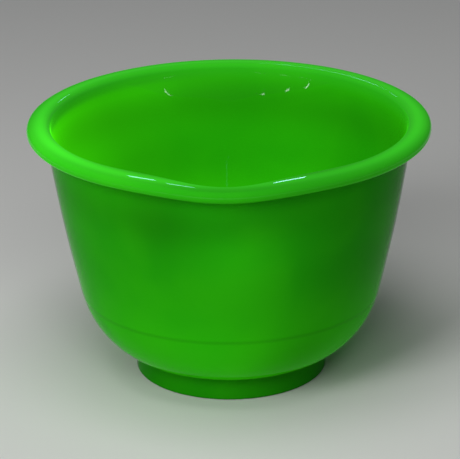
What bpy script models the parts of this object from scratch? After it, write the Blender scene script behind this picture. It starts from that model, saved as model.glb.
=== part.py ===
"""A small pressed-glass mixing bowl: a turned body on a foot ring, with a flat lip and one pouring spout.

The bowl stands on the plane Z = 0 with its axis on the Z axis, and the spout points to -Y. Sizes are in
metres. The glass is pressed in one mould, so the whole bowl is one solid.
"""

import math

import bpy

# Overall sizes
RIM_RADIUS = 0.0825                 # outer edge of the lip, away from the spout
HEIGHT = 0.108                      # from the table to the top of the lip

# Lip
LIP_WIDTH = 0.0097                  # from the mouth to the outer edge
LIP_FALL = 0.0003                   # how far the lip's top slopes down towards its outer edge
LIP_EDGE_RADIUS = 0.0025            # half of the lip's thickness at its outer edge
MOUTH_EDGE_RADIUS = 0.0022          # rounding between the lip's top and the inner wall
UNDER_LIP_FILLET = 0.0028           # hollow rounding between the lip's underside and the outer wall

# Body
WALL = 0.0028                       # wall thickness right under the lip, measured level
WALL_AT_RING = 0.0044               # wall thickness at the mould ring, measured level
WALL_DRAW_IN = 0.0152               # how much narrower the inside is at the mould ring than at the mouth
WALL_BOW = 0.0008                   # how far the outer wall bulges from a straight line
RING_HEIGHT = 0.0352                # height of the mould ring, where the wall turns into the heel
RING_STEP = 0.0003                  # how far the heel stands back at the mould ring
HEEL_END_SLOPE = math.radians(65)   # how far the heel faces downwards where it ends
HEEL_FULLNESS = 0.34                # length of the heel curve's handles, as a share of its chord
HEEL_EDGE_RADIUS = 0.0022           # rounding between the heel and the ledge over the foot

# Foot and floor
FOOT_RADIUS = 0.0397
FOOT_HEIGHT = 0.0099
FOOT_LEDGE = 0.0039                 # how far the heel overhangs the foot
FOOT_FILLET = 0.0010                # hollow rounding where the foot meets the ledge
FOOT_EDGE_RADIUS = 0.0010           # rounding at the bottom of the foot
FOOT_RING_WIDTH = 0.0060            # from the foot's side to the inner edge of the ring that stands
RECESS_DEPTH = 0.0040               # hollow under the floor, inside the foot ring
RECESS_SLOPE_WIDTH = 0.0020         # how far the recess narrows on the way up
FLOOR_THICKNESS = 0.0066

# Spout, as an angle round the axis from -Y and as distances that the lip moves
SPOUT_HALF_ANGLE = math.radians(16.4)   # from the tip to where the mouth is back on its circle
SPOUT_REACH = 0.0041                # how far the mouth's edge moves outwards at the tip
SPOUT_LIP_REACH = 0.0024            # how far the lip's outer edge moves outwards at the tip
SPOUT_DIP = 0.0011                  # how far the lip drops at the tip
SPOUT_DEPTH = 0.030                 # how far below the rim the pouring channel fades out

STEPS_ROUND = 96
SMOOTH_ANGLE = math.radians(35)
AXIS_MERGE = 0.00001

COLLECTION = "mixing_bowl"
GREEN_GLASS = (0.031, 0.300, 0.006, 1.0)


def arc(centre, radius, first, last, count):
    """Points on an arc. Angles are in degrees from +X, counterclockwise, and both ends are included."""
    points = []
    for i in range(count):
        angle = math.radians(first + (last - first) * i / (count - 1))
        points.append((centre[0] + radius * math.cos(angle), centre[1] + radius * math.sin(angle)))
    return points


def bezier(start, start_handle, end_handle, end, count):
    """Points on a cubic curve, without its first point."""
    points = []
    for i in range(1, count + 1):
        t = i / count
        weights = ((1 - t) ** 3, 3 * t * (1 - t) ** 2, 3 * t * t * (1 - t), t ** 3)
        corners = (start, start_handle, end_handle, end)
        points.append(tuple(sum(w * c[k] for w, c in zip(weights, corners)) for k in (0, 1)))
    return points


def mouth_radius():
    return RIM_RADIUS - LIP_WIDTH


def inside_radius(height):
    """Radius of the straight inner wall, which flares from the mould ring up to the mouth."""
    flare = WALL_DRAW_IN / (HEIGHT - MOUTH_EDGE_RADIUS - RING_HEIGHT)
    return mouth_radius() - flare * (HEIGHT - MOUTH_EDGE_RADIUS - height)


def neck_height():
    """Where the outer wall meets the fillet under the lip."""
    return HEIGHT - LIP_FALL - 2 * LIP_EDGE_RADIUS - UNDER_LIP_FILLET


def neck_radius():
    return inside_radius(neck_height()) + WALL


def inside_outline():
    """From the middle of the floor, up the inner wall, to the start of the lip's top."""
    floor = RECESS_DEPTH + FLOOR_THICKNESS
    top = HEIGHT - MOUTH_EDGE_RADIUS
    slope = math.atan(WALL_DRAW_IN / (top - RING_HEIGHT))
    heel = (RING_HEIGHT - floor) / (1 - math.sin(slope))
    heel_centre = (inside_radius(RING_HEIGHT) - heel * math.cos(slope), floor + heel)
    points = [(0.0, floor), (0.5 * heel_centre[0], floor)]
    points += arc(heel_centre, heel, -90, -math.degrees(slope), 8)
    for share in (0.25, 0.5, 0.75):
        height = RING_HEIGHT + (top - RING_HEIGHT) * share
        points.append((inside_radius(height), height))
    edge_centre = (mouth_radius() + MOUTH_EDGE_RADIUS, top)
    return points + arc(edge_centre, MOUTH_EDGE_RADIUS, 180, 90, 5)


def lip_outline():
    """Over the lip's top, round its outer edge and back under it to the outer wall."""
    flat_start = mouth_radius() + MOUTH_EDGE_RADIUS
    edge_centre = (RIM_RADIUS - LIP_EDGE_RADIUS, HEIGHT - LIP_FALL - LIP_EDGE_RADIUS)
    width = edge_centre[0] - flat_start
    points = []
    for share in (0.4, 0.75):
        points.append((flat_start + width * share, HEIGHT - LIP_FALL * share ** 2))
    points += arc(edge_centre, LIP_EDGE_RADIUS, 75, -90, 7)
    underside = HEIGHT - LIP_FALL - 2 * LIP_EDGE_RADIUS
    fillet_centre = (neck_radius() + UNDER_LIP_FILLET, underside - UNDER_LIP_FILLET)
    return points + arc(fillet_centre, UNDER_LIP_FILLET, 90, 180, 4)


def outside_outline():
    """Down the outer wall, over the mould ring and round the heel to the ledge over the foot."""
    ring_radius = inside_radius(RING_HEIGHT) + WALL_AT_RING
    draw_in = neck_radius() - ring_radius
    fall = neck_height() - RING_HEIGHT
    points = []
    for share in (0.8, 0.6, 0.4, 0.2, 0.0):
        bow = 4 * WALL_BOW * share * (1 - share)
        points.append((ring_radius + draw_in * share + bow, RING_HEIGHT + fall * share))
    heel_start = (ring_radius - RING_STEP, RING_HEIGHT - 2 * RING_STEP)
    down, across = math.cos(HEEL_END_SLOPE), math.sin(HEEL_END_SLOPE)
    edge_centre = (FOOT_RADIUS + FOOT_LEDGE - HEEL_EDGE_RADIUS, FOOT_HEIGHT + HEEL_EDGE_RADIUS)
    heel_end = (
        edge_centre[0] + HEEL_EDGE_RADIUS * down,
        edge_centre[1] - HEEL_EDGE_RADIUS * across,
    )
    slope = math.atan((draw_in + 4 * WALL_BOW) / fall)
    handle = HEEL_FULLNESS * math.dist(heel_start, heel_end)
    start_handle = (heel_start[0] - handle * math.sin(slope), heel_start[1] - handle * math.cos(slope))
    end_handle = (heel_end[0] + handle * across, heel_end[1] + handle * down)
    points += [heel_start] + bezier(heel_start, start_handle, end_handle, heel_end, 7)
    return points + arc(edge_centre, HEEL_EDGE_RADIUS, -math.degrees(HEEL_END_SLOPE), -90, 3)[1:]


def foot_outline():
    """Down the foot ring, along the ring that stands on the table, and up into the recess to the axis."""
    fillet_centre = (FOOT_RADIUS + FOOT_FILLET, FOOT_HEIGHT - FOOT_FILLET)
    points = arc(fillet_centre, FOOT_FILLET, 90, 180, 3)
    points += arc((FOOT_RADIUS - FOOT_EDGE_RADIUS, FOOT_EDGE_RADIUS), FOOT_EDGE_RADIUS, 0, -90, 3)
    ring_inside = FOOT_RADIUS - FOOT_RING_WIDTH
    points.append((ring_inside, 0.0))
    points.append((ring_inside - RECESS_SLOPE_WIDTH, RECESS_DEPTH))
    points.append((0.5 * ring_inside, RECESS_DEPTH))
    return points + [(0.0, RECESS_DEPTH)]


def turn(name, outline):
    """An object whose outline, in the XZ plane, is turned round the Z axis."""
    mesh = bpy.data.meshes.new(name)
    edges = [(i, i + 1) for i in range(len(outline) - 1)]
    mesh.from_pydata([(radius, 0.0, height) for radius, height in outline], edges, [])
    turned = bpy.data.objects.new(name, mesh)
    screw = turned.modifiers.new("Turn", "SCREW")
    screw.axis = "Z"
    screw.angle = math.tau
    screw.steps = screw.render_steps = STEPS_ROUND
    screw.use_merge_vertices = True
    screw.merge_threshold = AXIS_MERGE
    return turned


def ripple(angle):
    """1 at the tip, 0 at the spout's half angle, and a little below 0 beyond it, where the mouth draws in."""
    share = (angle / SPOUT_HALF_ANGLE) ** 2
    return (1 - share) * math.exp(-share / 2)


def bump(angle):
    """1 at the tip, fading smoothly to 0 on either side."""
    return math.exp(-(angle / SPOUT_HALF_ANGLE) ** 2)


def press_spout(mesh):
    """Moves the lip and the top of the wall outwards and down at -Y, as the mould's spout does."""
    for vertex in mesh.vertices:
        x, y, z = vertex.co
        radius = math.hypot(x, y)
        depth = (HEIGHT - z) / SPOUT_DEPTH
        if radius < inside_radius(RING_HEIGHT) or depth >= 1:
            continue
        angle = math.atan2(x, -y)
        fade = (1 - depth) ** 2 * (1 + 2 * depth)
        outwards = min(max((radius - mouth_radius()) / LIP_WIDTH, 0.0), 1.0)
        mouth_shift = SPOUT_REACH * ripple(angle)
        edge_shift = SPOUT_LIP_REACH * bump(angle)
        moved = radius + fade * (mouth_shift + (edge_shift - mouth_shift) * outwards)
        vertex.co = (x * moved / radius, y * moved / radius, z - SPOUT_DIP * bump(angle) * fade)


def glass_material():
    """Milky green pressed glass."""
    material = bpy.data.materials.new("milky_green_glass")
    material.use_nodes = True
    shader = material.node_tree.nodes["Principled BSDF"]
    shader.inputs["Base Color"].default_value = GREEN_GLASS
    shader.inputs["Roughness"].default_value = 0.08
    shader.inputs["Metallic"].default_value = 0.0
    shader.inputs["IOR"].default_value = 1.52
    material.diffuse_color = GREEN_GLASS
    return material


def make_bowl(collection):
    """The whole bowl: the turned solid with the spout pressed into it."""
    outline = inside_outline() + lip_outline() + outside_outline() + foot_outline()
    turned = turn("bowl_outline", outline)
    collection.objects.link(turned)
    graph = bpy.context.evaluated_depsgraph_get()
    mesh = bpy.data.meshes.new_from_object(turned.evaluated_get(graph))
    bpy.data.objects.remove(turned)
    mesh.name = "mixing_bowl"
    press_spout(mesh)
    mesh.materials.append(glass_material())
    mesh.shade_smooth()
    mesh.set_sharp_from_angle(angle=SMOOTH_ANGLE)
    collection.objects.link(bpy.data.objects.new("mixing_bowl", mesh))


def main():
    for obj in list(bpy.data.objects):
        bpy.data.objects.remove(obj)
    collection = bpy.data.collections.new(COLLECTION)
    bpy.context.scene.collection.children.link(collection)
    make_bowl(collection)


if __name__ == "__main__":
    main()
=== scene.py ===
"""Finished look of a small pressed-glass mixing bowl in milky uranium glass.

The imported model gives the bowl's place and overall size. This script builds the bowl's fine surface, its
glass, and a plain stage with soft light, and can be read or run like any add-on.
"""

import math

import bpy
from bpy.props import FloatProperty, FloatVectorProperty, IntProperty, PointerProperty
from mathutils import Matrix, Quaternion, Vector, noise


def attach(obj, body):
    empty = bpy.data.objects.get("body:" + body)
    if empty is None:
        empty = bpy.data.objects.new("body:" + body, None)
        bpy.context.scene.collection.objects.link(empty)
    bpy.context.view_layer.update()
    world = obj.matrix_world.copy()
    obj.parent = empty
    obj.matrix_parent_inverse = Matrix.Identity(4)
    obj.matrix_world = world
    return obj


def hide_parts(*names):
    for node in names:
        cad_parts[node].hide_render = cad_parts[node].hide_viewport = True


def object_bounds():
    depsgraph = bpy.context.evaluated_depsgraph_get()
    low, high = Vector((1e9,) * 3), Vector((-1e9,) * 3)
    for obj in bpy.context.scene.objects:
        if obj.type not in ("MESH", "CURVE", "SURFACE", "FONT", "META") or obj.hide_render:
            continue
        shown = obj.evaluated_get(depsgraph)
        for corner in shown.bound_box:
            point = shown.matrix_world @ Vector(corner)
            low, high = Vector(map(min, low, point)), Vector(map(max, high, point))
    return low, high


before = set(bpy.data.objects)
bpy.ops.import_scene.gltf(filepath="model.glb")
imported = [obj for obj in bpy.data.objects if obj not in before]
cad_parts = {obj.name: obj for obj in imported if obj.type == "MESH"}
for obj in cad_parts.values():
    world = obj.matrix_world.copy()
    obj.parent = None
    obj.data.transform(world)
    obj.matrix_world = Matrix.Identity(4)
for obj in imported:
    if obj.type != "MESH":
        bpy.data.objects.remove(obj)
CAD_LOW, CAD_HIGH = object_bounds()

bl_info = {
    "name": "Uranium glass mixing bowl",
    "version": (1, 0, 0),
    "blender": (4, 5, 0),
    "location": "View3D > Sidebar > Mixing bowl",
    "description": "Builds a small pressed-glass mixing bowl with a pouring spout, its glass and its stage",
    "category": "Add Mesh",
}

MM = 0.001
LIGHT_AIM = Vector((0.0, 0.0, 0.06))
# Large soft lights, hidden from mirror images: azimuth and elevation in degrees, distance and size in
# metres, watts.
SOFT_LIGHTS = {
    "key": (-35, 30, 1.1, (0.45, 0.45), 6.0),
    "fill": (5, 35, 1.5, (0.6, 0.5), 4.5),
    "top": (-20, 75, 1.2, (0.7, 0.7), 5.6),
}
# Small cool lamps behind the bowl, each seen as a thin streak along the near lip: azimuth and elevation in
# degrees, width in metres, watts.
RIM_LAMPS = ((-174, 30.5, 0.045, 0.024), (-177, 33, 0.035, 0.014), (179, 28.5, 0.05, 0.045))
RIM_LAMP_DISTANCE, RIM_LAMP_HEIGHT, RIM_LAMP_TINT = 1.16, 0.03, (0.45, 0.75, 1.0)
# Thin lamps low in front, each seen as a short white dash high on the far inner wall: azimuth and elevation.
FRONT_LAMPS = ((42, 8.2), (-20, 8.4), (-38, 7.7), (-52, 7.0))
FRONT_LAMP_DISTANCE, FRONT_LAMP_SIZE, FRONT_LAMP_WATTS = 0.74, (0.10, 0.0008), 0.0025
FLOOR_SIZE = 30.0
ROOM_COLOUR, ROOM_STRENGTH = (0.8, 0.82, 0.85, 1), 0.04
NEAREST_SEEN, FARTHEST_SEEN = 0.05, 60.0

GLASS_ROUGHNESS, GLASS_IOR = 0.015, 1.52

# How much lighter (above 0) or darker (below 0) the inside and the outside are made overall, and the
# painted shade on the foot, in the shadow of the ledge over it.
INSIDE_LEVEL, OUTSIDE_LEVEL, FOOT_SHADE = 0.11, 0.20, -0.31
# Bands round the bowl: height and size in mm, and how much lighter or darker. Inside, a painted reflection of
# the dark room over the near rim; outside, the painted shadow under the lip, painted shade along the mould
# ring's line, and a lighter band over the foot.
INSIDE_REFLECTION_BANDS = ((92, 9, -0.30),)
UNDER_LIP_SHADOW, MOULD_RING_SHADE, OVER_FOOT = (88, 9, -0.17), (34.9, 0.7, -0.16), (15, 6, 0.08)
OUTSIDE_BANDS = (UNDER_LIP_SHADOW, MOULD_RING_SHADE, OVER_FOOT)
# Large lighter and darker patches: degrees round from the spout, then as for the bands. Outside, painted
# shade under the lip, down the side away from the lamp and on the heel there, and lighter patches below the
# spout and low in front. Inside, lighter and darker patches on the far wall. On the lip, painted light on
# the side towards the lamp and painted shade on the other side.
OUTSIDE_LIGHT_AND_SHADE = (
    (-22, 88, 14, -0.25),
    (5, 76, 20, 0.25),
    (45, 45, 35, -0.20),
    (30, 25, 14, -0.20),
    (-5, 20, 20, 0.15),
)
INSIDE_PATCHES = ((-145, 75, 16, -0.10), (-150, 100, 20, 0.15), (130, 80, 20, -0.08))
LIP_LIGHT_AND_SHADE = ((-65, 106, 40, 0.40), (30, 106, 35, -0.25))
# The ultraviolet lamp shines through the wall round this azimuth, over this width, in degrees.
LAMP_SIDE, LAMP_SIDE_WIDTH = -80, 55
INSIDE_FINISH, LIP_FINISH, OUTSIDE_FINISH = 0, 1, 2
# Past the mouth, a face that looks up by more than this share has the lip's finish.
FACES_UP = 0.1


def linear(hex_colour):
    """An sRGB hex colour as linear red, green and blue."""
    values = [int(hex_colour[i:i + 2], 16) / 255 for i in (1, 3, 5)]
    return tuple(v / 12.92 if v <= 0.04045 else ((v + 0.055) / 1.055) ** 2.4 for v in values)


def length(name, description, default):
    """A size in metres that the sidebar shows as a length."""
    return FloatProperty(name=name, description=description, default=default, unit="LENGTH", precision=5)


def colour(name, description, hex_colour):
    """A colour that the sidebar shows as a swatch."""
    return FloatVectorProperty(
        name=name, description=description, default=linear(hex_colour), size=3, subtype="COLOR", min=0, max=1
    )


def strength(name, description, default):
    """A share or strength that can't go below 0."""
    return FloatProperty(name=name, description=description, default=default, min=0)


class BowlSizes(bpy.types.PropertyGroup):
    """Sizes of the pressed bowl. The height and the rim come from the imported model."""

    height: length("Height", "From the table to the top of the lip", CAD_HIGH.z - CAD_LOW.z)
    rim_radius: length("Rim radius", "Outer edge of the lip, away from the spout", CAD_HIGH.x)
    lip_width: length("Lip width", "From the mouth to the lip's outer edge", 9.7 * MM)
    lip_fall: length("Lip fall", "How far the lip's top slopes down outwards", 0.3 * MM)
    lip_edge: length("Lip edge radius", "Half of the lip's thickness at its edge", 2.5 * MM)
    mouth_edge: length("Mouth edge radius", "Rounding between the lip's top and the inner wall", 2.2 * MM)
    lip_fillet: length("Lip fillet", "Hollow rounding under the lip", 2.8 * MM)
    wall: length("Wall", "Wall thickness right under the lip, measured level", 2.8 * MM)
    wall_at_ring: length("Wall at ring", "Wall thickness at the mould ring, measured level", 4.4 * MM)
    draw_in: length("Draw-in", "How much narrower the inside is at the mould ring than the mouth", 15.2 * MM)
    bow: length("Bow", "How far the outer wall bulges from a straight line", 0.8 * MM)
    ring_height: length("Ring height", "Height of the mould ring, where the heel begins", 35.2 * MM)
    ring_step: length("Ring step", "How far the heel stands back at the mould ring", 0.3 * MM)
    heel_slope: FloatProperty(
        name="Heel slope", description="How far the heel faces down where it ends",
        default=math.radians(65), subtype="ANGLE",
    )
    heel_fullness: FloatProperty(
        name="Heel fullness", description="Length of the heel curve's handles, as a share of its chord",
        default=0.34, subtype="FACTOR", min=0, max=1,
    )
    heel_edge: length("Heel edge radius", "Rounding between the heel and the ledge over the foot", 2.2 * MM)
    foot_radius: length("Foot radius", "Outside of the foot", 39.7 * MM)
    foot_height: length("Foot height", "From the table to the ledge over the foot", 9.9 * MM)
    foot_ledge: length("Foot ledge", "How far the heel overhangs the foot", 3.9 * MM)
    foot_fillet: length("Foot fillet", "Hollow rounding where the foot meets the ledge", 1.0 * MM)
    foot_edge: length("Foot edge radius", "Rounding at the bottom of the foot", 1.0 * MM)
    foot_ring: length("Foot ring width", "Width of the ring that stands on the table", 6.0 * MM)
    recess_depth: length("Recess depth", "Hollow under the floor, inside the foot ring", 4.0 * MM)
    recess_slope: length("Recess slope", "How far the recess narrows on the way up", 2.0 * MM)
    floor: length("Floor", "Thickness of the bowl's floor", 6.6 * MM)
    spout_angle: FloatProperty(
        name="Spout half angle", description="From the spout's tip to where the mouth is back on its circle",
        default=math.radians(16.4), subtype="ANGLE",
    )
    spout_reach: length("Spout reach", "How far the mouth's edge moves out at the tip", 4.1 * MM)
    spout_lip_reach: length("Spout lip reach", "How far the lip's edge moves out at the tip", 2.4 * MM)
    spout_dip: length("Spout dip", "How far the lip drops at the tip", 1.1 * MM)
    spout_depth: length("Spout depth", "How far below the rim the pouring channel fades out", 30.0 * MM)
    wave_height: length("Wave height", "Height of the slow waves that pressing leaves in the wall", 0.10 * MM)
    wave_length: length("Wave length", "Distance between those waves", 24.0 * MM)
    segments: IntProperty(name="Segments", description="Steps round the axis", default=256, min=24)


class BowlGlass(bpy.types.PropertyGroup):
    """Colours of the glass, and how strongly each part of it is painted to glow, as it glows under
    ultraviolet light.
    """

    deep_green: colour("Deep green", "Where the melt is clearer and looks darker", "#1B8C07")
    pale_green: colour("Pale green", "Where the melt is cloudier and looks lighter", "#229407")
    # The glows are painted light: an emission that stands in for the uranium's fluorescence under the
    # ultraviolet lamp and for the lamp's light falling on and through the glass.
    glow_green: colour("Glow green", "Fluorescence of the uranium in the melt", "#36BC06")
    # The lip's painted glow is paler and cooler; its blue also stands in for a painted cool reflection on the
    # lip.
    lip_glow_green: colour("Milky green", "Paler, cooler fluorescence of the thick lip", "#38BC26")
    glow_lip: strength("Glow of the lip", "The thick lip holds the most glass", 0.30)
    glow_crest: strength("Glow of the crest", "Extra glow along the top of the lip", 0.45)
    glow_mouth: strength("Glow of the mouth", "Upper part of the inner wall", 0.19)
    glow_floor: strength("Glow of the floor", "Lower part of the inside, which lights itself", 0.50)
    glow_heel: strength("Glow of the heel", "Lower part of the outside, where the wall thickens", 0.15)
    glow_lamp_side: strength("Glow of the lamp side", "Inner wall that the lamp shines through", 0.84)
    shine_inside: strength("Shine inside", "Mirror strength of the side that the plunger formed", 0.5)
    shine_lip: strength("Shine of the lip", "Mirror strength of the fire-polished lip", 0.25)
    shine_outside: strength("Shine outside", "Mirror strength of the side that the mould formed", 0.015)
    cloud_size: length("Cloud size", "Size of the clouds in the melt", 38.0 * MM)


class BowlStage(bpy.types.PropertyGroup):
    """The floor, the lights and the camera."""

    floor_colour: colour("Floor", "Plain pale floor", "#D8D8D6")
    camera_distance: length("Camera distance", "From the middle of the bowl to the camera", 1.15)
    camera_height: length("Aim height", "Height of the point that the camera looks at", 59.4 * MM)
    camera_elevation: FloatProperty(
        name="Camera elevation", description="How far above the bowl the camera stands",
        default=math.radians(21.07), subtype="ANGLE",
    )
    camera_azimuth: FloatProperty(
        name="Camera azimuth", description="How far the camera stands to the right of the spout",
        default=math.radians(1.1), subtype="ANGLE",
    )
    camera_roll: FloatProperty(
        name="Camera roll", description="Tilt of the camera about its line of sight",
        default=math.radians(-0.6), subtype="ANGLE",
    )
    camera_lens: FloatProperty(
        name="Camera lens", description="Focal length on a 36 mm sensor", default=217.5, unit="CAMERA",
    )


def add_node(tree, kind, links=None, values=None, ends=None, **settings):
    """A node of this kind with its links, socket values and settings. Ends are a mix's two colours."""
    node = tree.nodes.new(kind)
    for name, value in settings.items():
        setattr(node, name, value)
    if ends:
        node.inputs[6].default_value = (*ends[0], 1)
        node.inputs[7].default_value = (*ends[1], 1)
    for name, value in (values or {}).items():
        node.inputs[name].default_value = value
    for name, output in (links or {}).items():
        tree.links.new(output, node.inputs[name])
    return node


def arc(centre, radius, first, last, count):
    """Points on an arc, in degrees counterclockwise from +X, with both ends."""
    angles = [math.radians(first + (last - first) * i / (count - 1)) for i in range(count)]
    return [(centre[0] + radius * math.cos(a), centre[1] + radius * math.sin(a)) for a in angles]


def line(start, end, count):
    """Points from start towards end, without the end."""
    return [tuple(s + (e - s) * i / count for s, e in zip(start, end)) for i in range(count)]


def curve(start, start_handle, end_handle, end, count):
    """Points on a cubic curve, with both ends."""
    points = []
    for i in range(count + 1):
        t = i / count
        weights = ((1 - t) ** 3, 3 * t * (1 - t) ** 2, 3 * t * t * (1 - t), t ** 3)
        corners = (start, start_handle, end_handle, end)
        points.append(tuple(sum(w * c[k] for w, c in zip(weights, corners)) for k in (0, 1)))
    return points


def inside_radius(sizes, height):
    """Radius of the straight inner wall, which flares from the mould ring up to the mouth."""
    top = sizes.height - sizes.mouth_edge
    flare = sizes.draw_in / (top - sizes.ring_height)
    return sizes.rim_radius - sizes.lip_width - flare * (top - height)


def neck(sizes):
    """Radius and height where the outer wall meets the fillet under the lip."""
    height = sizes.height - sizes.lip_fall - 2 * sizes.lip_edge - sizes.lip_fillet
    return inside_radius(sizes, height) + sizes.wall, height


def inside_outline(sizes):
    """From the middle of the floor up the inner wall and over the mouth's edge."""
    mouth = sizes.rim_radius - sizes.lip_width
    floor = sizes.recess_depth + sizes.floor
    top = sizes.height - sizes.mouth_edge
    slope = math.atan(sizes.draw_in / (top - sizes.ring_height))
    heel = (sizes.ring_height - floor) / (1 - math.sin(slope))
    ring = inside_radius(sizes, sizes.ring_height)
    heel_centre = (ring - heel * math.cos(slope), floor + heel)
    points = line((0.0, floor), (heel_centre[0], floor), 8)
    points += arc(heel_centre, heel, -90, -math.degrees(slope), 26)[:-1]
    points += line((ring, sizes.ring_height), (mouth, top), 34)
    return points + arc((mouth + sizes.mouth_edge, top), sizes.mouth_edge, 180, 90, 12)


def lip_outline(sizes):
    """Over the lip's top, round its edge and back under it."""
    start = sizes.rim_radius - sizes.lip_width + sizes.mouth_edge
    edge_centre = (sizes.rim_radius - sizes.lip_edge, sizes.height - sizes.lip_fall - sizes.lip_edge)
    width = edge_centre[0] - start
    points = [(start + width * i / 8, sizes.height - sizes.lip_fall * (i / 8) ** 2) for i in range(1, 8)]
    points += arc(edge_centre, sizes.lip_edge, 86, -90, 16)
    underside = edge_centre[1] - sizes.lip_edge
    fillet_radius = neck(sizes)[0] + sizes.lip_fillet
    points += line(points[-1], (fillet_radius, underside), 3)[1:]
    return points + arc((fillet_radius, underside - sizes.lip_fillet), sizes.lip_fillet, 90, 180, 8)


def heel_outline(sizes, ring_radius, slope):
    """From the mould ring round the heel to the ledge over the foot."""
    start = (ring_radius - sizes.ring_step, sizes.ring_height - 2 * sizes.ring_step)
    down, across = math.cos(sizes.heel_slope), math.sin(sizes.heel_slope)
    centre = (sizes.foot_radius + sizes.foot_ledge - sizes.heel_edge, sizes.foot_height + sizes.heel_edge)
    end = (centre[0] + sizes.heel_edge * down, centre[1] - sizes.heel_edge * across)
    handle = sizes.heel_fullness * math.dist(start, end)
    start_handle = (start[0] - handle * math.sin(slope), start[1] - handle * math.cos(slope))
    end_handle = (end[0] + handle * across, end[1] + handle * down)
    points = curve(start, start_handle, end_handle, end, 30)
    return points + arc(centre, sizes.heel_edge, -math.degrees(sizes.heel_slope), -90, 5)[1:]


def outside_outline(sizes):
    """Down the bowed outer wall, over the mould ring and round the heel."""
    neck_radius, neck_height = neck(sizes)
    ring = inside_radius(sizes, sizes.ring_height) + sizes.wall_at_ring
    draw_in, fall = neck_radius - ring, neck_height - sizes.ring_height
    points = []
    # The last steps are finer, so that the painted shade line over the mould ring has points to sit on.
    for i in [*range(33, 0, -1), 0.6, 0.3, 0]:
        up = i / 34
        bow = 4 * sizes.bow * up * (1 - up)
        points.append((ring + draw_in * up + bow, sizes.ring_height + fall * up))
    return points + heel_outline(sizes, ring, math.atan((draw_in + 4 * sizes.bow) / fall))


def foot_outline(sizes):
    """Down the foot, along the ring that stands on the table and up into the recess."""
    fillet_centre = (sizes.foot_radius + sizes.foot_fillet, sizes.foot_height - sizes.foot_fillet)
    points = arc(fillet_centre, sizes.foot_fillet, 90, 180, 5)
    edge_centre = (sizes.foot_radius - sizes.foot_edge, sizes.foot_edge)
    foot_side = line(points[-1], (sizes.foot_radius, sizes.foot_edge), 6)[1:]
    points += foot_side + arc(edge_centre, sizes.foot_edge, 0, -90, 6)
    ring_inside = sizes.foot_radius - sizes.foot_ring
    points += line(points[-1], (ring_inside, 0.0), 3)[1:]
    start, recess = (ring_inside, 0.0), (ring_inside - sizes.recess_slope, sizes.recess_depth)
    handle = 0.6 * sizes.recess_slope
    points += curve(start, (start[0] - handle, 0.0), (recess[0] + handle, recess[1]), recess, 8)
    return points + line(recess, (0.0, sizes.recess_depth), 8)[1:] + [(0.0, sizes.recess_depth)]


def pressed(sizes, radius, height, angle):
    """A point of the outline turned to this angle from the spout, with the spout pressed into it."""
    mouth = sizes.rim_radius - sizes.lip_width
    depth = (sizes.height - height) / sizes.spout_depth
    if radius > inside_radius(sizes, sizes.ring_height) and depth < 1:
        fade = (1 - depth) ** 2 * (1 + 2 * depth)
        share = (angle / sizes.spout_angle) ** 2
        outwards = min(max((radius - mouth) / sizes.lip_width, 0.0), 1.0)
        mouth_shift = sizes.spout_reach * (1 - share) * math.exp(-share / 2)
        edge_shift = sizes.spout_lip_reach * math.exp(-share)
        radius += fade * (mouth_shift + (edge_shift - mouth_shift) * outwards)
        height -= sizes.spout_dip * math.exp(-share) * fade
    return Vector((radius * math.sin(angle), -radius * math.cos(angle), height))


def waved(sizes, point):
    """The point moved in or out a little, as the slow waves of pressed glass do. The foot stays flat."""
    calm = min(1.0, max(0.0, (point.z - sizes.foot_height) / sizes.foot_height))
    outwards = Vector((point.x, point.y, 0.0)).normalized()
    return point + outwards * noise.noise(point / sizes.wave_length) * sizes.wave_height * calm


def smooth(low, high, value):
    """0 below low, 1 above high and a smooth step between."""
    share = min(1.0, max(0.0, (value - low) / (high - low)))
    return share * share * (3 - 2 * share)


def hill(offset, width):
    """1 at no offset, falling off smoothly to either side."""
    return math.exp(-(offset / width) ** 2)


def lip_share(sizes, point):
    """0 on the walls and 1 on the lip."""
    return smooth(sizes.height - 8 * MM, sizes.height - 4 * MM, point.z)


def painted_glow_at(sizes, glass, point, inside):
    """Painted glow at a point of the surface, standing in for fluorescence under the ultraviolet lamp:
    strongest where the glass is thick or lit through.
    """
    radius = math.hypot(point.x, point.y)
    mouth = sizes.rim_radius - sizes.lip_width
    lip = lip_share(sizes, point) * smooth(mouth - 2.8 * MM, mouth + 0.2 * MM, radius)
    # Painted light along the top of the lip, where the thick edge is lit.
    crest = smooth(sizes.height - 3 * MM, sizes.height - 0.5 * MM, point.z)
    crest *= hill(radius - mouth - 4.2 * MM, 3.5 * MM)
    glow = glass.glow_lip * lip + glass.glow_crest * crest
    if not inside:
        over_foot = smooth(9 * MM, 12 * MM, point.z)
        return glow + glass.glow_heel * over_foot * (1 - smooth(20 * MM, 70 * MM, point.z))
    across = math.degrees(math.atan2(point.x, -point.y))
    lamp_side = hill(math.remainder(across - LAMP_SIDE, 360), LAMP_SIDE_WIDTH)
    lamp_side *= smooth(12 * MM, 60 * MM, point.z)
    body = glass.glow_mouth * smooth(60 * MM, 105 * MM, point.z)
    body += glass.glow_floor * (1 - smooth(30 * MM, 75 * MM, point.z))
    return glow + (1 - lip) * (body + glass.glow_lamp_side * lamp_side)


def rings_at(point, rings):
    """How much lighter the painted bands make a point."""
    return sum(paler * hill(point.z - height * MM, size * MM) for height, size, paler in rings)


def patches_at(point, patches):
    """How much lighter the patches make a point, by its distance from each round the bowl and in height."""
    across, radius = math.atan2(point.x, -point.y), math.hypot(point.x, point.y)
    total = 0.0
    for degrees, height, size, paler in patches:
        aside = math.remainder(across - math.radians(degrees), math.tau) * radius
        total += paler * hill(math.hypot(aside, point.z - height * MM), size * MM)
    return total


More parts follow.
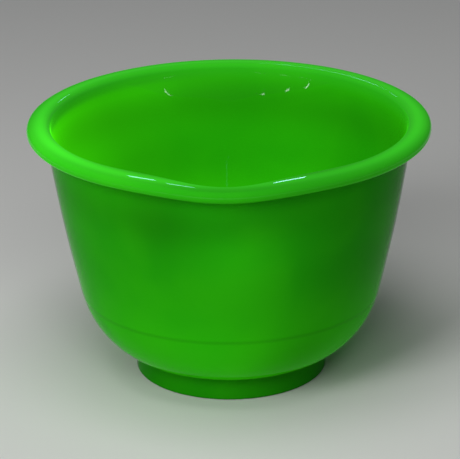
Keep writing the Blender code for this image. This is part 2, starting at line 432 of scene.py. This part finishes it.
def painted_light_and_shade_at(sizes, point, inside):
    """How much lighter or darker a point of the surface is painted: the bands and patches of painted light
    and shade, and the painted shade on the foot.
    """
    if inside:
        body = INSIDE_LEVEL + rings_at(point, INSIDE_REFLECTION_BANDS) + patches_at(point, INSIDE_PATCHES)
    else:
        foot = 1 - smooth(8 * MM, 10 * MM, point.z)
        body = OUTSIDE_LEVEL + FOOT_SHADE * foot + (1 - foot) * rings_at(point, OUTSIDE_BANDS)
        body += patches_at(point, OUTSIDE_LIGHT_AND_SHADE)
    lip = lip_share(sizes, point)
    return math.exp(lip * patches_at(point, LIP_LIGHT_AND_SHADE) + (1 - lip) * body)


def add_attribute(mesh, name, values):
    """A number on every point of the mesh, for the material to read."""
    mesh.attributes.new(name, "FLOAT", "POINT").data.foreach_set("value", values)


def bowl_mesh(sizes, glass):
    """The whole bowl as rings of points, closed by a fan in the floor and one in the recess."""
    inner = inside_outline(sizes)
    outline = inner + lip_outline(sizes) + outside_outline(sizes) + foot_outline(sizes)
    count = sizes.segments
    angles = [math.tau * i / count - math.pi for i in range(count)]
    points = [Vector((0.0, 0.0, outline[0][1]))]
    for radius, height in outline[1:-1]:
        points += [waved(sizes, pressed(sizes, radius, height, angle)) for angle in angles]
    points.append(Vector((0.0, 0.0, outline[-1][1])))
    rings = len(outline) - 2
    faces = [(0, 1 + i, 1 + (i + 1) % count) for i in range(count)]
    for ring in range(rings - 1):
        low, high = 1 + ring * count, 1 + (ring + 1) * count
        faces += [(low + (i + 1) % count, low + i, high + i, high + (i + 1) % count) for i in range(count)]
    last, end = 1 + (rings - 1) * count, len(points) - 1
    faces += [(last + (i + 1) % count, last + i, end) for i in range(count)]
    mesh = bpy.data.meshes.new("mixing_bowl_glass")
    mesh.from_pydata(points, [], faces)
    mesh.shade_smooth()
    inner_points = 1 + count * (len(inner) - 1)
    sided = [(point, i < inner_points) for i, point in enumerate(points)]
    add_attribute(mesh, "glow", [painted_glow_at(sizes, glass, point, inside) for point, inside in sided])
    # Painted light and shade, laid on both the base colour and the glow.
    add_attribute(mesh, "painted_light_and_shade", [painted_light_and_shade_at(sizes, point, inside) for point, inside in sided])
    lip_tint = [smooth(sizes.height - 7 * MM, sizes.height - 1 * MM, point.z) for point in points]
    add_attribute(mesh, "lip", lip_tint)
    for face in mesh.polygons[count * len(inner):]:
        face.material_index = LIP_FINISH if face.normal.z > FACES_UP else OUTSIDE_FINISH
    return mesh


def uranium_glass(glass, name, shine):
    """Milky uranium glass, pressed: cloudy green with a painted glow for its fluorescence, lighter or darker
    where light and shade are painted.
    """
    material = bpy.data.materials.new(name)
    material.use_nodes = True
    tree = material.node_tree
    shader = tree.nodes["Principled BSDF"]
    place = add_node(tree, "ShaderNodeTexCoord").outputs["Object"]
    patches = add_node(
        tree, "ShaderNodeTexNoise", {"Vector": place},
        {"Scale": 1 / glass.cloud_size, "Detail": 2.5, "Roughness": 0.45, "Distortion": 0.4},
    ).outputs["Fac"]
    cloudy = add_node(
        tree, "ShaderNodeMapRange", {"Value": patches}, {"From Min": 0.3, "From Max": 0.7},
        interpolation_type="SMOOTHSTEP",
    ).outputs["Result"]
    base = add_node(
        tree, "ShaderNodeMix", {"Factor": cloudy}, data_type="RGBA",
        ends=(glass.deep_green, glass.pale_green),
    )
    # Painted light and shade from the mesh brighten or darken the base colour and the glow.
    painted_light_and_shade = add_node(tree, "ShaderNodeAttribute", attribute_name="painted_light_and_shade").outputs["Fac"]
    painted_base = add_node(tree, "ShaderNodeVectorMath", {0: base.outputs[2], "Scale": painted_light_and_shade}, operation="SCALE")
    tree.links.new(painted_base.outputs[0], shader.inputs["Base Color"])
    glow = add_node(tree, "ShaderNodeAttribute", attribute_name="glow").outputs["Fac"]
    glowing = add_node(tree, "ShaderNodeMath", {0: glow, 1: painted_light_and_shade}, operation="MULTIPLY").outputs[0]
    lip = add_node(tree, "ShaderNodeAttribute", attribute_name="lip").outputs["Fac"]
    painted_glow_colour = add_node(
        tree, "ShaderNodeMix", {"Factor": lip}, data_type="RGBA", ends=(glass.glow_green, glass.lip_glow_green)
    )
    links = {0: painted_glow_colour.outputs[2], "Scale": glowing}
    lit = add_node(tree, "ShaderNodeVectorMath", links, operation="SCALE")
    tree.links.new(lit.outputs[0], shader.inputs["Emission Color"])
    shader.inputs["Emission Strength"].default_value = 1.0
    shader.inputs["Roughness"].default_value = GLASS_ROUGHNESS
    shader.inputs["IOR"].default_value = GLASS_IOR
    shader.inputs["Specular IOR Level"].default_value = shine
    return material


class BOWL_OT_make_bowl(bpy.types.Operator):
    """Build the pressed bowl in milky uranium glass"""

    bl_idname = "bowl.make_bowl"
    bl_label = "Make bowl"

    def execute(self, context):
        glass = context.scene.bowl_glass
        mesh = bowl_mesh(context.scene.bowl_sizes, glass)
        # The inside mirrors clearly, the lip more softly, and the outside is nearly dull.
        finishes = {
            INSIDE_FINISH: ("uranium_glass_inside", glass.shine_inside),
            LIP_FINISH: ("uranium_glass_lip", glass.shine_lip),
            OUTSIDE_FINISH: ("uranium_glass_outside", glass.shine_outside),
        }
        for name, shine in finishes.values():
            mesh.materials.append(uranium_glass(glass, name, shine))
        bowl = bpy.data.objects.new("mixing_bowl_glass", mesh)
        context.scene.collection.objects.link(bowl)
        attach(bowl, "root")
        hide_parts("mixing_bowl")
        return {"FINISHED"}


def softbox(name, azimuth, elevation, distance, size, energy, tint=(1, 1, 1), mirrored=True):
    """A soft light that faces the bowl and that the camera doesn't see. Azimuth is from the spout."""
    data = bpy.data.lights.new(name, "AREA")
    data.shape = "RECTANGLE"
    data.size, data.size_y = size
    data.energy = energy
    data.color = tint
    light = bpy.data.objects.new(name, data)
    across, up = math.radians(azimuth), math.radians(elevation)
    flat = math.cos(up)
    away = Vector((math.sin(across) * flat, -math.cos(across) * flat, math.sin(up)))
    light.location = LIGHT_AIM + away * distance
    light.rotation_euler = away.to_track_quat("Z", "Y").to_euler()
    light.visible_camera = False
    light.visible_glossy = mirrored
    bpy.context.scene.collection.objects.link(light)


class BOWL_OT_make_stage(bpy.types.Operator):
    """Make the plain pale floor, the soft lights and the camera"""

    bl_idname = "bowl.make_stage"
    bl_label = "Make stage"

    def execute(self, context):
        stage = context.scene.bowl_stage
        bpy.ops.mesh.primitive_plane_add(size=FLOOR_SIZE)
        floor = context.object
        floor.name = "floor"
        plain = bpy.data.materials.new("matt_paper")
        plain.use_nodes = True
        shader = plain.node_tree.nodes["Principled BSDF"]
        shader.inputs["Base Color"].default_value = (*stage.floor_colour, 1)
        shader.inputs["Roughness"].default_value = 0.9
        shader.inputs["Specular IOR Level"].default_value = 0.1
        floor.data.materials.append(plain)
        world = bpy.data.worlds.new("studio")
        world.use_nodes = True
        background = world.node_tree.nodes["Background"]
        background.inputs["Color"].default_value = ROOM_COLOUR
        background.inputs["Strength"].default_value = ROOM_STRENGTH
        context.scene.world = world
        for name, settings in SOFT_LIGHTS.items():
            softbox(name, *settings, mirrored=False)
        for azimuth, elevation, width, watts in RIM_LAMPS:
            size = (width, RIM_LAMP_HEIGHT)
            softbox("rim_lamp", azimuth, elevation, RIM_LAMP_DISTANCE, size, watts, RIM_LAMP_TINT)
        for direction in FRONT_LAMPS:
            softbox("front_lamp", *direction, FRONT_LAMP_DISTANCE, FRONT_LAMP_SIZE, FRONT_LAMP_WATTS)
        context.scene.view_settings.view_transform = "Standard"
        self.make_camera(context, stage)
        return {"FINISHED"}

    def make_camera(self, context, stage):
        data = bpy.data.cameras.new("camera")
        data.sensor_width = 36.0
        data.lens = stage.camera_lens
        data.clip_start, data.clip_end = NEAREST_SEEN, FARTHEST_SEEN
        camera = bpy.data.objects.new("camera", data)
        aim = Vector((0.0, 0.0, stage.camera_height))
        flat = math.cos(stage.camera_elevation)
        back = Vector((
            math.sin(stage.camera_azimuth) * flat,
            -math.cos(stage.camera_azimuth) * flat,
            math.sin(stage.camera_elevation),
        ))
        camera.location = aim + back * stage.camera_distance
        level = (-back).to_track_quat("-Z", "Y")
        camera.rotation_euler = (Quaternion(back, stage.camera_roll) @ level).to_euler()
        context.scene.collection.objects.link(camera)
        context.scene.camera = camera


class BOWL_PT_panel(bpy.types.Panel):
    """Lists the operators that build the bowl and its stage"""

    bl_label = "Mixing bowl"
    bl_idname = "BOWL_PT_panel"
    bl_space_type = "VIEW_3D"
    bl_region_type = "UI"
    bl_category = "Mixing bowl"

    def draw(self, context):
        for operator in OPERATORS:
            self.layout.operator(operator.bl_idname)


GROUPS = {"bowl_sizes": BowlSizes, "bowl_glass": BowlGlass, "bowl_stage": BowlStage}
OPERATORS = (BOWL_OT_make_bowl, BOWL_OT_make_stage)


def register():
    for group in GROUPS.values():
        bpy.utils.register_class(group)
    for name, group in GROUPS.items():
        setattr(bpy.types.Scene, name, PointerProperty(type=group))
    for operator in OPERATORS:
        bpy.utils.register_class(operator)
    bpy.utils.register_class(BOWL_PT_panel)


def unregister():
    bpy.utils.unregister_class(BOWL_PT_panel)
    for operator in reversed(OPERATORS):
        bpy.utils.unregister_class(operator)
    for name, group in GROUPS.items():
        delattr(bpy.types.Scene, name)
        bpy.utils.unregister_class(group)


def main():
    register()
    bpy.ops.bowl.make_bowl()
    bpy.ops.bowl.make_stage()


if __name__ == "__main__":
    main()
